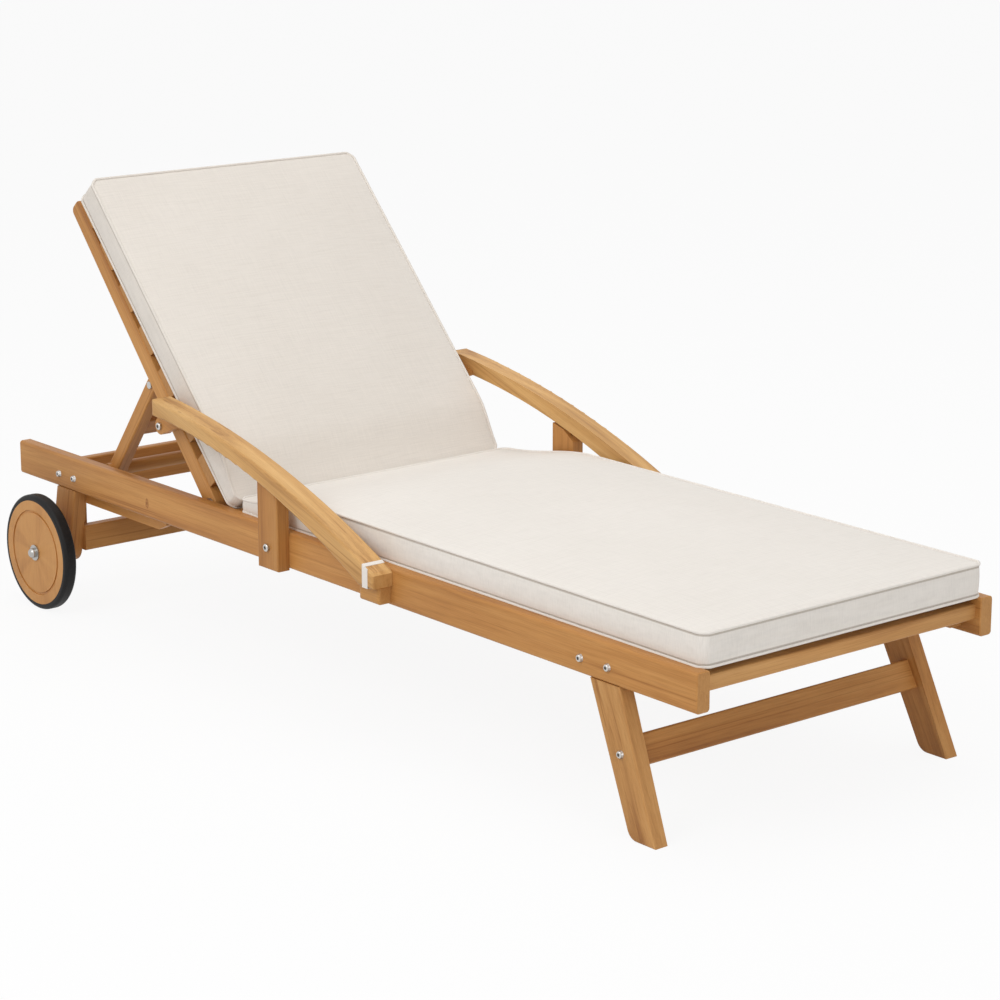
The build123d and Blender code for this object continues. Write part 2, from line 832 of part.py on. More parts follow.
def make_arm_lug(side, hand):
    """Bracket under the head end of the arm that turns on the bolt in the stile."""
    place, up = on_back(lug_along, 0)
    with BuildPart() as lug:
        with BuildSketch(side_plane(side * arm_inner)):
            with Locations((place, up)):
                Circle(lug_radius)
            with BuildLine():
                Polyline(
                    (lug_start, lug_low),
                    (lug_start, lug_low + lug_radius / 2),
                    (arm_end, lug_high),
                    (place + lug_radius, up),
                    (place, up - lug_radius),
                    close=True,
                )
            make_face()
            with Locations((place, up)):
                Circle(bolt_radius + pin_gap, mode=Mode.SUBTRACT)
        extrude(amount=-side * lug_thick)
    save(lug, f"arm_lug_{hand}")


def make_arm_bolts():
    """Bolts through the lugs into the stiles, with a collar that keeps them apart."""
    place, up = on_back(lug_along, 0)
    lug_inner = arm_inner - lug_thick
    with BuildPart() as bolts:
        for side, _ in sides:
            head = arm_inner + moving_gap
            outline = (
                (stile_inner, 0), (stile_inner, bolt_radius), (stile_outer, bolt_radius),
                (stile_outer, bolt_head_radius), (lug_inner - moving_gap, bolt_head_radius),
                (lug_inner - moving_gap, bolt_radius), (head, bolt_radius),
                (head, bolt_head_radius), (head + bolt_head_height, bolt_head_radius),
                (head + bolt_head_height, 0),
            )
            turn_along_x(outline, side, place, up)
    save(bolts, "arm_pivot_bolts")


def make_arm_band(side, hand):
    """Thin band wrapped round the arm just behind its tip."""
    with BuildPart() as band:
        with BuildSketch(side_plane(side * arm_inner)):
            with BuildLine():
                arm_outline()
            make_face()
            offset(amount=band_thick)
            with Locations((band_place, 0)):
                Rectangle(band_width, arm_end, align=(Align.MIN, Align.MIN), mode=Mode.INTERSECT)
        extrude(amount=side * (arm_width + band_thick))
        with BuildSketch(side_plane(side * arm_inner)):
            with BuildLine():
                arm_outline()
            make_face()
        extrude(amount=side * arm_width, mode=Mode.SUBTRACT)
        with BuildSketch(side_plane(side * arm_inner)):
            with Locations((band_place, arm_tip_top - band_width)):
                Rectangle(
                    band_width - band_top_width,
                    arm_end,
                    align=(Align.MIN, Align.MIN),
                )
        extrude(amount=side * (arm_width - band_thick), mode=Mode.SUBTRACT)
    save(band, f"arm_band_{hand}")


def make_post(side, hand):
    """Post that swings on the rail, with a tongue that turns in the mortise of the arm."""
    half = post_width / 2
    middle = arm_mid_bottom - shoulder_gap
    with BuildPart() as post:
        with BuildSketch(side_plane(side * arm_inner)):
            with BuildLine():
                Polyline(
                    (arm_mid - half, post_bottom),
                    (arm_mid + half, post_bottom),
                    (arm_mid + half, middle + shoulder_rise),
                    (arm_mid, middle),
                    (arm_mid - half, middle - shoulder_rise - shoulder_swing),
                    close=True,
                )
            make_face()
            with Locations((arm_mid, post_pivot_up)):
                Circle(bolt_radius + pin_gap, mode=Mode.SUBTRACT)
        extrude(amount=side * (post_thick - moving_gap))
        outer = post.faces().sort_by(Axis.X)[0 if side < 0 else -1]
        edges = outer.edges().filter_by(GeomType.LINE)
        fillet(edges, wood_round)
        with BuildSketch(side_plane(side * (arm_inner + tongue_inset))):
            with Locations((arm_mid, post_pin_up)):
                Circle(tongue_radius)
                Rectangle(
                    2 * tongue_radius,
                    post_pin_up - middle + post_width / 2,
                    align=(Align.CENTER, Align.MAX),
                )
        extrude(amount=side * tongue_thick)
    save(post, f"post_{hand}")


def make_post_bolts():
    """Bolts that fix the posts to the rails, with a thin washer under each post."""
    with BuildPart() as bolts:
        for side, _ in sides:
            seat = half_width - hinge_pin_depth
            head = post_outer
            outline = (
                (seat, 0), (seat, bolt_radius), (head, bolt_radius),
                (head, bolt_head_radius), (head + bolt_head_height, bolt_head_radius),
                (head + bolt_head_height, 0),
            )
            turn_along_x(outline, side, arm_mid, post_pivot_up)
    save(bolts, "post_pivot_bolts")


def loft_cushion(base, length, crown_side, under):
    """Cushion on a base plane: belly, drawn-in side between two seams, and a crown."""
    width = 2 * cushion_half
    levels = (
        (-under, crown_inset),
        (0, 0),
        (cushion_thick / 2, cushion_draw),
        (cushion_thick, 0),
        (cushion_thick + crown_side / 2, crown_shoulder),
        (cushion_thick + crown_side, crown_inset),
    )
    sections = []
    for height, inset in levels:
        with BuildSketch(base.offset(height)) as level:
            RectangleRounded(width - 2 * inset, length - 2 * inset, cushion_corner)
        sections.append(level.sketch)
    loft(sections, ruled=True)


def make_seat_cushion():
    length = seat_cushion_end - seat_cushion_start
    base = Plane(
        origin=(0, foot_y + seat_cushion_start + length / 2, rail_top + seat_cushion_lift),
        x_dir=(1, 0, 0),
        z_dir=(0, 0, 1),
    )
    with BuildPart() as cushion:
        loft_cushion(base, length, cushion_crown, seat_belly)
    save(cushion, "seat_cushion")


def make_back_cushion():
    length = back_cushion_end - back_cushion_start
    middle = back_cushion_start + length / 2
    place, up = on_back(middle, back_cushion_front - cushion_thick)
    base = Plane(
        origin=(0, foot_y + place, up),
        x_dir=(1, 0, 0),
        z_dir=(0, -math.sin(recline), math.cos(recline)),
    )
    with BuildPart() as cushion:
        loft_cushion(base, length, cushion_crown, back_belly)
    save(cushion, "back_cushion")


seat_belly = rail_top + seat_cushion_lift - (ledger_top + seat_slat_thick) - moving_gap
back_belly = back_cushion_front - cushion_thick - stile_half - back_slat_thick - moving_gap

for side, hand in sides:
    make_rail(side, hand)
    make_ledger(side, hand)
    make_front_leg(side, hand)
    make_rear_leg(side, hand)
    make_notch_board(side, hand)
    make_rest_block(side, hand)
    make_wheel(side, hand)
    make_stile(side, hand)
    make_prop_strut(side, hand)
    make_arm(side, hand)
    make_arm_lug(side, hand)
    make_arm_band(side, hand)
    make_post(side, hand)

make_crossbar(
    "foot_crossbar", foot_bar_inset, rail_top - foot_bar_drop - foot_bar_height,
    foot_bar_thick, foot_bar_height, rear_bar_round,
)
make_crossbar(
    "mid_crossbar", mid_bar_place, mid_bar_bottom, mid_bar_width, mid_bar_thick, rear_bar_round
)
make_crossbar(
    "rear_crossbar_1", near_bar_place, rail_top - rear_bar_drop - rear_bar_height,
    rear_bar_thick, rear_bar_height, rear_bar_round, inner_half - notch_board_thick,
)
make_crossbar(
    "rear_crossbar_2", far_bar_place, rail_top - rear_bar_drop - rear_bar_height,
    rear_bar_thick, rear_bar_height, rear_bar_round,
)
make_crossbar(
    "rear_stretcher", rear_stretcher_place, rear_stretcher_up - rear_stretcher_height / 2,
    rear_stretcher_thick, rear_stretcher_height, wood_round,
)
make_front_stretcher()
make_seat_slats()
make_frame_bolts()
make_wheel_axles()
make_cap_nuts()
make_hinge_pins()
make_back_slats()
make_prop_rail()
make_prop_bars()
make_prop_bolts()
make_arm_bolts()
make_post_bolts()
make_seat_cushion()
make_back_cushion()
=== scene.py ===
import json
import math

import bmesh
import bpy
from mathutils import Matrix, Vector, noise

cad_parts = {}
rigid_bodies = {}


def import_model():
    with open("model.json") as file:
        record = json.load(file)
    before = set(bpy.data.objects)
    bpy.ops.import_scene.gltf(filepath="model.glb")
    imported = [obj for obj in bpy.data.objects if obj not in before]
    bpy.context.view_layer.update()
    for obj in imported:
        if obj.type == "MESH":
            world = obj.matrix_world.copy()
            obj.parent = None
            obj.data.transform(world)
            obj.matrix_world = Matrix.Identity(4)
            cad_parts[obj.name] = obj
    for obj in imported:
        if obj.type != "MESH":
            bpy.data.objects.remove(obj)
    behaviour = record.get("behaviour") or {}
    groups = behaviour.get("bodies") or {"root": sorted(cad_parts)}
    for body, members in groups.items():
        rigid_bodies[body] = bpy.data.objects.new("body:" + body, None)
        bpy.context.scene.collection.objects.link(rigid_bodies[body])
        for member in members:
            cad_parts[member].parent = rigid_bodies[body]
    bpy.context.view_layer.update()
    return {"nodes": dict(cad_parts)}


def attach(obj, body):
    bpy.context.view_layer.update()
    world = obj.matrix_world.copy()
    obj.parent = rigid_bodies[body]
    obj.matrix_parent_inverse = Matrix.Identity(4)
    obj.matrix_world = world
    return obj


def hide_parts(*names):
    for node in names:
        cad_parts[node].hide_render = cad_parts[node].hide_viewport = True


# Looks of a wooden sun lounger with piped cushions. Metres, +Z up, foot end towards -Y.
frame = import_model()
SCENE = bpy.context.scene
MM = 0.001

# Camera, as the photograph sees the lounger, in metres, degrees and millimetres of lens and sensor
CAMERA_PLACE = (-3.2357, -4.0590, 1.6496)
CAMERA_TURN = -39.41
CAMERA_DOWN = 14.38
CAMERA_LENS = 106.4
SENSOR = 36.0

# Back rest, prop and wheels in the rest pose
BACK_ANGLE = math.radians(48.8)
PROP_ANGLE = math.radians(-52.7)
HINGE = Vector((0, 0.3555, 0.290))
WHEEL_CENTRE = (0.8265, 0.114)

# Cushions in their own flat frame: width along X, length along Y, thickness along Z
HALF_WIDTH = 307 * MM
BORDER = 54 * MM
BORDER_ROWS = 5
CORNER = 15 * MM
CORNER_CELLS = 3
CELL = 11 * MM
PIPING = 2.4 * MM
CROWN = 13 * MM

# Seat pad: its place on the frame, and its flattened head end
SEAT_LENGTH = 1224 * MM
SEAT_START = -0.9775
SEAT_LOW = 300.5 * MM
SEAT_SHIFT = 4 * MM
SEAT_WIDENED = 313 / 307
SEAT_BELLY = 9 * MM
SEAT_END_SQUASH = 0.42
SEAT_END_LENGTH = 260 * MM

# Back pad: its place from the hinge along the back, with the lift and thickness at its two ends
BACK_LENGTH = 709 * MM
BACK_START = -48 * MM
BACK_LOW = 47 * MM
BACK_SHIFT = -4 * MM
BACK_BELLY = 20 * MM
BACK_LIFT = (21 * MM, -3 * MM)
BACK_THICK = (29 * MM, 51 * MM)
BACK_PINCH = 115 * MM
SLATS_HALF = 298 * MM
SLATS_TOP = 44 * MM

# Swelling of the cloth, and the unevenness that it gets afterwards
CLOTH_FRAMES = 20
CLOTH_PRESSURE = 4.0
CLOTH_STIFFNESS = 12
CLOTH_SHEAR = 5
CLOTH_BENDING = 0.4
CLOTH_QUALITY = 5
FLAT = 0.1 * MM
CROWN_POWER = 0.75
DENT_POWER = 0.4
WOBBLE = 1.6
RIPPLE = 0.5
BORDER_SWELL = 2 * MM
PIPING_SHAKE = 0.25 * MM

# Bolts whose heads get a socket, with the body that each set rides on
BOLT_BODIES = (("frame_bolts", "frame"), ("post_pivot_bolts", "frame"), ("arm_pivot_bolts", "back"))
SHOWN_FROM = 0.32
HEAD_RIM = 1.2 * MM
LARGEST_HEAD = 9 * MM

# Button head, in shares of the bolt head's radius: rings of reach and height, and the socket
HEAD_STEPS = 36
HEAD_RINGS = ((0.99, 0.0), (0.97, 0.10), (0.86, 0.22), (0.70, 0.29))
SOCKET_SHARE = 0.52
SOCKET_TOP = 0.28
SOCKET_FLOOR = 0.03

# Part of the front legs' laps that would show under the rails, as X and Z corners
LAP_CUT = ((0.27, 0.2338), (0.3018, 0.2338), (0.3052, 0.178), (0.27, 0.178))
LAP_CUT_START = -0.90
LAP_CUT_END = -0.66
WELD = 0.01 * MM

# Studio light
WORLD_LIGHT = 0.58
FLOOR_WHITE = 1.008
FLOOR_SIZE = 60
FLOOR_PAINT = (0.80, 0.80, 0.80, 1)
SHADOW_SHARE = 0.10
WHITE = (1, 1, 1, 1)

# Name, place, diameter and watts of each lamp, and the point that all of them face
LAMPS = (
    ("key", (-3.0, -0.4, 3.0), 2.6, 48.0),
    ("top", (0.6, 0.2, 4.2), 3.6, 42.0),
    ("fill", (-0.9, -4.6, 1.9), 2.6, 26.0),
)
LIT_POINT = Vector((0, 0, 0.3))

# Colours, linear
WOOD_DARK = (0.340, 0.135, 0.032)
WOOD_MID = (0.520, 0.243, 0.068)
WOOD_LIGHT = (0.630, 0.330, 0.108)
END_DARK = (0.43, 0.205, 0.062)
END_LIGHT = (0.53, 0.27, 0.090)
DISC_WOOD = (0.640, 0.320, 0.105)
LINEN = (0.848, 0.802, 0.745)
# Painted shade: the back pad's cloth is the seat's linen made darker
SHADED_BACK_LINEN = (0.789, 0.734, 0.670)
# Painted shade: darker cloth in the creases on both sides of the piping
SEAM_SHADE = (0.68, 0.65, 0.62)
RUBBER = (0.006, 0.006, 0.006)
RUBBER_LIGHT = (0.014, 0.013, 0.013)
BOLT_STEEL = (0.62, 0.61, 0.59)
CAP_STEEL = (0.50, 0.49, 0.47)
HEAD_STEEL = (0.66, 0.645, 0.62)
# Painted shade: dark steel for the floor of each hexagon socket
SOCKET_PAINTED_SHADE = (0.16, 0.14, 0.12)
CLEAR = (1, 1, 1)

# Tints that some boards' wood is multiplied by, by the start of their names. The arms' tint is their
# lighter wood; the tints of the rest block, the near front leg and the foot crossbar are painted
# light on these boards that face the foot end
ARM_TINT = (1.24, 1.52, 1.95)
LEG_PAINTED_LIGHT = (1.09, 1.20, 1.42)
BLOCK_PAINTED_LIGHT = (1.16, 1.28, 1.40)
PLAIN_TINT = (1.0, 1.0, 1.0)
TINTS = {
    "arm_left": ARM_TINT,
    "arm_right": ARM_TINT,
    "arm_rest_block": BLOCK_PAINTED_LIGHT,
    "front_leg_right": LEG_PAINTED_LIGHT,
    "foot_crossbar": LEG_PAINTED_LIGHT,
}

# Centre and size of each knot in the near rail
RAIL_KNOTS = (((-0.33, 0.5234, 0.262), 0.014),)

# Grain of the boards that don't lie across, by the start of their names
ALONG_BACK = (0, math.cos(BACK_ANGLE), math.sin(BACK_ANGLE))
ALONG_PROP = (0, math.cos(PROP_ANGLE), math.sin(PROP_ANGLE))
ALONG_ARM = (0, 0.95, 0.31)
ACROSS = (1, 0, 0)
LENGTHWISE = (0, 1, 0)
GRAINS = {
    "side_rail": LENGTHWISE,
    "seat_ledger": LENGTHWISE,
    "notch_board": LENGTHWISE,
    "arm_rest_block": LENGTHWISE,
    "front_leg": (0, 0.444, 0.896),
    "rear_leg": (0, -0.215, 0.977),
    "post": (0, 0, 1),
    "back_stile": ALONG_BACK,
    "prop_strut": ALONG_PROP,
    "arm_left": ALONG_ARM,
    "arm_right": ALONG_ARM,
    "arm_lug": ALONG_ARM,
}


class Shade:
    """A small builder for one node material."""

    def __init__(self, name):
        self.material = bpy.data.materials.new(name)
        self.material.use_nodes = True
        self.tree = self.material.node_tree
        self.tree.nodes.clear()
        output = self.tree.nodes.new("ShaderNodeOutputMaterial")
        self.shader = self.tree.nodes.new("ShaderNodeBsdfPrincipled")
        self.tree.links.new(self.shader.outputs[0], output.inputs[0])
        self.coords = self.tree.nodes.new("ShaderNodeTexCoord")

    def node(self, kind, settings=None, **inputs):
        """New node, with its settings, and its inputs by name."""
        made = self.tree.nodes.new(kind)
        for key, value in (settings or {}).items():
            setattr(made, key, value)
        for key, value in inputs.items():
            self.put(made, key.replace("_", " "), value)
        return made

    def put(self, node, key, value):
        """Link or set one input, given by its name or by its number in text."""
        socket = node.inputs[int(key)] if key.isdigit() else node.inputs[key]
        if isinstance(value, bpy.types.NodeSocket):
            self.tree.links.new(value, socket)
        else:
            socket.default_value = value

    def look(self, **inputs):
        """Link or set inputs of the shader itself, by name."""
        for key, value in inputs.items():
            self.put(self.shader, key.replace("_", " "), value)

    def math(self, operation, first, second=0.0):
        """Sum, product or other operation on one or two values."""
        made = self.node("ShaderNodeMath", {"operation": operation})
        self.put(made, "0", first)
        self.put(made, "1", second)
        return made.outputs[0]

    def scaled(self, value, share, base):
        """A share of one value on top of a base."""
        return self.math("ADD", self.math("MULTIPLY", value, share), base)

    def vector_math(self, operation, first, second=None):
        """Node that works on one or two vectors."""
        made = self.node("ShaderNodeVectorMath", {"operation": operation})
        self.put(made, "0", first)
        if second is not None:
            self.put(made, "1", second)
        return made

    def mix(self, share, first, second, blend="MIX"):
        """The first colour with a share of the second laid over it."""
        made = self.node("ShaderNodeMix", {"data_type": "RGBA", "blend_type": blend})
        self.put(made, "0", share)
        self.put(made, "6", first if isinstance(first, bpy.types.NodeSocket) else (*first, 1))
        self.put(made, "7", second if isinstance(second, bpy.types.NodeSocket) else (*second, 1))
        return made.outputs[2]

    def shaded(self, colour, shade, share=1.0):
        """A colour multiplied by a shade."""
        return self.mix(share, colour, shade, "MULTIPLY")

    def ramp(self, factor, *stops):
        """Colour ramp through stops of place and colour."""
        made = self.node("ShaderNodeValToRGB", Fac=factor)
        elements = made.color_ramp.elements
        while len(elements) < len(stops):
            elements.new(0.5)
        for element, (place, colour) in zip(elements, stops):
            element.position = place
            element.color = (*colour, 1)
        return made.outputs[0]

    def stretched(self, scale, turn=(0, 0, 0), shift=(0, 0, 0)):
        """Places on the object, turned and moved first and then stretched."""
        turned = self.node("ShaderNodeMapping", Vector=self.coords.outputs["Object"])
        turned.inputs["Rotation"].default_value = turn
        turned.inputs["Location"].default_value = shift
        sized = self.node("ShaderNodeMapping", Vector=turned.outputs[0])
        sized.inputs["Scale"].default_value = scale
        return sized.outputs[0]

    def noise(self, vector, scale=1.0, detail=2.0, rough=0.5, warp=0.0):
        """Cloudy noise between 0 and 1."""
        made = self.node(
            "ShaderNodeTexNoise",
            Vector=vector,
            Scale=scale,
            Detail=detail,
            Roughness=rough,
            Distortion=warp,
        )
        return made.outputs[0]

    def bump(self, height, strength, distance):
        """Fine relief that only bends the light."""
        made = self.node("ShaderNodeBump", Height=height, Strength=strength, Distance=distance)
        self.look(Normal=made.outputs[0])


def grain_turn(direction):
    """Euler turn that brings a grain direction in the Y-Z plane onto X."""
    angle = math.atan2(direction[2], direction[1])
    matrix = Matrix.Rotation(math.radians(-90), 3, "Z") @ Matrix.Rotation(-angle, 3, "X")
    return tuple(matrix.to_euler("XYZ"))


def knot(shade, centre, size):
    """Darkening of a small upright knot: a brown heart and one ring round it."""
    moved = shade.vector_math("SUBTRACT", shade.coords.outputs["Object"], centre)
    sized = shade.vector_math("MULTIPLY", moved.outputs[0], (0.2 / size, 1.7 / size, 1.0 / size))
    away = shade.vector_math("LENGTH", sized.outputs[0])
    ragged = shade.noise(sized.outputs[0], scale=2.2, detail=3.0)
    place = shade.scaled(ragged, 0.5, away.outputs["Value"])
    return shade.ramp(
        place,
        (0.40, (0.42, 0.30, 0.22)),
        (0.62, (0.86, 0.80, 0.74)),
        (0.80, (0.62, 0.50, 0.42)),
        (1.0, CLEAR),
    )


def wood(name, direction, seed, tint=PLAIN_TINT, knots=()):
    """Oiled hardwood: long streaks, fine fibres, a few darker lines, end grain and knots."""
    shade = Shade(name)
    axis = Vector(direction).normalized()
    turn = (0, 0, 0) if abs(axis.x) > 0.9 else grain_turn(axis)
    shift = (0.37 * seed, 0.113 * seed, 0.071 * seed)

    def grained(scale, **settings):
        """Noise drawn out along the grain."""
        return shade.noise(shade.stretched(scale, turn, shift), **settings)

    streaks = grained((1.1, 17, 17), detail=5.0, rough=0.55, warp=0.9)
    bands = grained((2.4, 75, 75), detail=4.0, rough=0.6, warp=0.35)
    fibres = grained((16, 950, 950), rough=0.6)
    blotch = grained((1.6, 4, 4))
    lines = grained((0.9, 130, 130), detail=3.0, warp=0.2)
    rings = grained((1, 260, 90), detail=3.0, warp=1.5)
    grain = shade.scaled(streaks, 0.6, shade.math("MULTIPLY", bands, 0.4))
    colour = shade.ramp(grain, (0.32, WOOD_DARK), (0.48, WOOD_MID), (0.66, WOOD_LIGHT))
    tone = shade.ramp(blotch, (0.3, (0.86, 0.83, 0.80)), (0.7, (1.08, 1.06, 1.04)))
    pores = shade.ramp(fibres, (0.40, (0.70, 0.62, 0.56)), (0.52, CLEAR))
    veins = shade.ramp(lines, (0.30, (0.66, 0.55, 0.44)), (0.40, CLEAR))
    colour = shade.shaded(colour, tone)
    colour = shade.shaded(colour, pores, share=0.35)
    colour = shade.shaded(colour, veins, share=0.75)
    # Tint: the arms' lighter wood, and painted light on the foot-facing boards
    colour = shade.shaded(colour, tint)
    for centre, size in knots:
        colour = shade.shaded(colour, knot(shade, centre, size))
    facing = shade.vector_math("DOT_PRODUCT", shade.coords.outputs["Normal"], tuple(axis))
    end = shade.math("POWER", shade.math("ABSOLUTE", facing.outputs["Value"]), 6.0)
    end_colour = shade.ramp(rings, (0.30, END_DARK), (0.70, END_LIGHT))
    colour = shade.mix(shade.math("MULTIPLY", end, 0.8), colour, end_colour)
    roughness = shade.scaled(bands, 0.20, 0.36)
    shade.look(Base_Color=colour, Roughness=roughness, Specular_IOR_Level=0.28)
    shade.bump(fibres, strength=0.18, distance=0.0006)
    return shade.material


def radial_wood(name, centre, seed):
    """Wood of the wheel discs: faint pie-shaped sectors with a fine grain that runs outwards."""
    shade = Shade(name)
    turned = shade.node("ShaderNodeMapping", Vector=shade.coords.outputs["Object"])
    turned.inputs["Location"].default_value = (0, -centre[0], -centre[1])
    parts = shade.node("ShaderNodeSeparateXYZ", Vector=turned.outputs[0])
    angle = shade.math("ARCTAN2", parts.outputs[2], parts.outputs[1])
    y2 = shade.math("MULTIPLY", parts.outputs[1], parts.outputs[1])
    z2 = shade.math("MULTIPLY", parts.outputs[2], parts.outputs[2])
    radius = shade.math("SQRT", shade.math("ADD", y2, z2))
    polar = shade.node("ShaderNodeCombineXYZ")
    shade.put(polar, "0", shade.math("MULTIPLY", radius, 6.0))
    shade.put(polar, "1", shade.math("MULTIPLY", angle, 2.2))
    shade.put(polar, "2", float(seed))
    sectors = shade.noise(polar.outputs[0], detail=3.0, warp=0.1)
    streaks = shade.noise(shade.stretched((1, 260, 22)), detail=4.0, rough=0.6, warp=0.4)
    fine = shade.noise(shade.stretched((900, 900, 900)))
    grain = shade.scaled(sectors, 0.65, shade.math("MULTIPLY", streaks, 0.35))
    colour = shade.ramp(grain, (0.30, WOOD_DARK), (0.46, WOOD_MID), (0.68, WOOD_LIGHT))
    colour = shade.mix(0.45, colour, DISC_WOOD)
    grit = shade.ramp(fine, (0.3, (0.90, 0.87, 0.84)), (0.7, (1.04, 1.03, 1.02)))
    colour = shade.shaded(colour, grit, share=0.8)
    shade.look(Base_Color=colour, Roughness=0.46, Specular_IOR_Level=0.3)
    shade.bump(grain, strength=0.06, distance=0.0005)
    return shade.material


def linen(name, turn=(0, 0, 0), fleck=1.0, base=LINEN):
    """Slubby off-white weave: crossed threads with thick and thin yarns, and painted shade beside
    the seams.
    """
    shade = Shade(name)
    warp = shade.noise(shade.stretched((1150, 22, 60), turn), detail=3.0, rough=0.65, warp=0.05)
    weft = shade.noise(shade.stretched((22, 1150, 60), turn), detail=3.0, rough=0.65, warp=0.05)
    weave = shade.math("MULTIPLY", shade.math("ADD", warp, weft), 0.5)
    slubs = shade.noise(shade.stretched((14, 420, 90), turn))
    cloud = shade.noise(shade.stretched((4, 4, 4), turn))
    light = tuple(min(1.0, value * 1.04) for value in base)
    dark = tuple(value * (1 - 0.07 * fleck) for value in base)
    colour = shade.ramp(weave, (0.36, dark), (0.52, base), (0.66, light))
    lines = shade.ramp(slubs, (0.34, (0.945, 0.935, 0.92)), (0.5, CLEAR))
    tone = shade.ramp(cloud, (0.3, (0.975, 0.972, 0.968)), (0.7, CLEAR))
    # Painted shade: the cloth darkens to SEAM_SHADE near the seams, standing in for the creases
    # beside the piping
    seam_shade_mask = shade.node("ShaderNodeAttribute", {"attribute_name": "seam"})
    seam_shadow_colour = shade.ramp(seam_shade_mask.outputs["Fac"], (0.44, CLEAR), (0.60, SEAM_SHADE))
    colour = shade.shaded(colour, lines, share=0.35 * fleck)
    colour = shade.shaded(colour, tone)
    colour = shade.shaded(colour, seam_shadow_colour)
    shade.look(Base_Color=colour, Roughness=0.92, Sheen_Weight=0.15, Specular_IOR_Level=0.12)
    shade.bump(weave, strength=0.30, distance=0.0009)
    return shade.material


def rubber(name):
    """Matt black rubber with a fine grit."""
    shade = Shade(name)
    grit = shade.noise(shade.stretched((420, 420, 420)), detail=3.0)
    colour = shade.ramp(grit, (0.3, RUBBER), (0.7, RUBBER_LIGHT))
    roughness = shade.scaled(grit, 0.2, 0.42)
    shade.look(Base_Color=colour, Roughness=roughness, Specular_IOR_Level=0.22)
    shade.bump(grit, strength=0.12, distance=0.0005)
    return shade.material


def steel(name, tint, rough):
    """Brushed steel of one tint."""
    shade = Shade(name)
    brushed = shade.noise(shade.stretched((500, 500, 500)), detail=3.0, rough=0.6)
    dark = tuple(value * 0.82 for value in tint)
    colour = shade.ramp(brushed, (0.3, dark), (0.7, tint))
    shade.look(Base_Color=colour, Metallic=1.0, Roughness=shade.scaled(brushed, 0.2, rough))
    shade.bump(brushed, strength=0.06, distance=0.0003)
    return shade.material


def by_start(table, name, default):
    """Value of the first key of a table that a node's name starts with."""
    return next((value for key, value in table.items() if name.startswith(key)), default)


def dress_frame():
    """Give every CAD node its own material, with the grain along each board."""
    bolts = steel("bolt_steel", BOLT_STEEL, 0.24)
    caps = steel("cap_nut_steel", CAP_STEEL, 0.20)
    tyres = rubber("tyre_rubber")
    band = linen("band_webbing", fleck=0.6)
    for seed, name in enumerate(sorted(frame["nodes"])):
        node = bpy.data.objects[name]
        if "cushion" in name:
            continue
        if "bolt" in name or "pins" in name or "axles" in name:
            look = bolts
        elif "cap_nuts" in name:
            look = caps
        elif name.startswith("tyre"):
            look = tyres
        elif "band" in name:
            look = band
        elif name.startswith("wheel_disc"):
            look = radial_wood(f"{name}_wood", WHEEL_CENTRE, seed)
        else:
            direction = by_start(GRAINS, name, ACROSS)
            tint = by_start(TINTS, name, PLAIN_TINT)
            knots = RAIL_KNOTS if name == "side_rail_right" else ()
            look = wood(f"{name}_wood", direction, seed, tint, knots)
        node.data.materials.clear()
        node.data.materials.append(look)


def trim_leg(name, side):
    """Front leg without the end of its lap that would show below the rail."""
    node = bpy.data.objects[name]
    work = bmesh.new()
    work.from_mesh(node.data)
    bmesh.ops.remove_doubles(work, verts=work.verts, dist=WELD)
    mesh = bpy.data.meshes.new(f"{name}_trimmed")
    work.to_mesh(mesh)
    work.free()
    leg = bpy.data.objects.new(f"{name}_trimmed", mesh)
    cut = bmesh.new()
    near, far = (
        [cut.verts.new((side * x, y, z)) for x, z in LAP_CUT] for y in (LAP_CUT_START, LAP_CUT_END)
    )
    cut.faces.new(near)
    cut.faces.new(far)
    join_loops(cut, [near, far])
    bmesh.ops.recalc_face_normals(cut, faces=cut.faces)
    cutter_mesh = bpy.data.meshes.new(f"{name}_cutter")
    cut.to_mesh(cutter_mesh)
    cut.free()
    cutter = bpy.data.objects.new(f"{name}_cutter", cutter_mesh)
    for made in (leg, cutter):
        SCENE.collection.objects.link(made)
    trim = leg.modifiers.new("trim", "BOOLEAN")
    trim.object = cutter
    trim.operation = "DIFFERENCE"
    trim.solver = "EXACT"
    graph = bpy.context.evaluated_depsgraph_get()
    leg.data = bpy.data.meshes.new_from_object(leg.evaluated_get(graph))
    leg.modifiers.clear()
    bpy.data.objects.remove(cutter)
    for polygon in leg.data.polygons:
        polygon.use_smooth = False
    leg.data.materials.clear()
    leg.data.materials.append(node.data.materials[0])
    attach(leg, "frame")
    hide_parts(name)


def islands(mesh):
    """Separate shells of a mesh, as lists of vertex places."""
    lead = list(range(len(mesh.vertices)))

    def top(index):
        """Vertex that stands for the whole shell so far."""
        while lead[index] != index:
            lead[index] = lead[lead[index]]
            index = lead[index]
        return index

    first_at = {}
    for index, vertex in enumerate(mesh.vertices):
        key = tuple(round(value, 6) for value in vertex.co)
        lead[top(index)] = top(first_at.setdefault(key, index))
    for edge in mesh.edges:
        lead[top(edge.vertices[0])] = top(edge.vertices[1])
    groups = {}
    for index, vertex in enumerate(mesh.vertices):
        groups.setdefault(top(index), []).append(vertex.co.copy())
    return list(groups.values())


def head_face(places):
    """Middle, outward direction and radius of the flat outer end of a bolt that lies across."""
    side = math.copysign(1, sum(place.x for place in places))
    reach = max(place.x * side for place in places)
    rim = [place for place in places if place.x * side > reach - HEAD_RIM]
    middle = sum(rim, Vector()) / len(rim)
    radius = max((place - middle).length for place in rim)
    return middle, side, radius


def join_loops(work, loops):
    """Faces between each closed loop of vertices and the next."""
    for low, high in zip(loops, loops[1:]):
        count = len(low)
        for step in range(count):
            after = (step + 1) % count
            work.faces.new([low[step], low[after], high[after], high[step]])


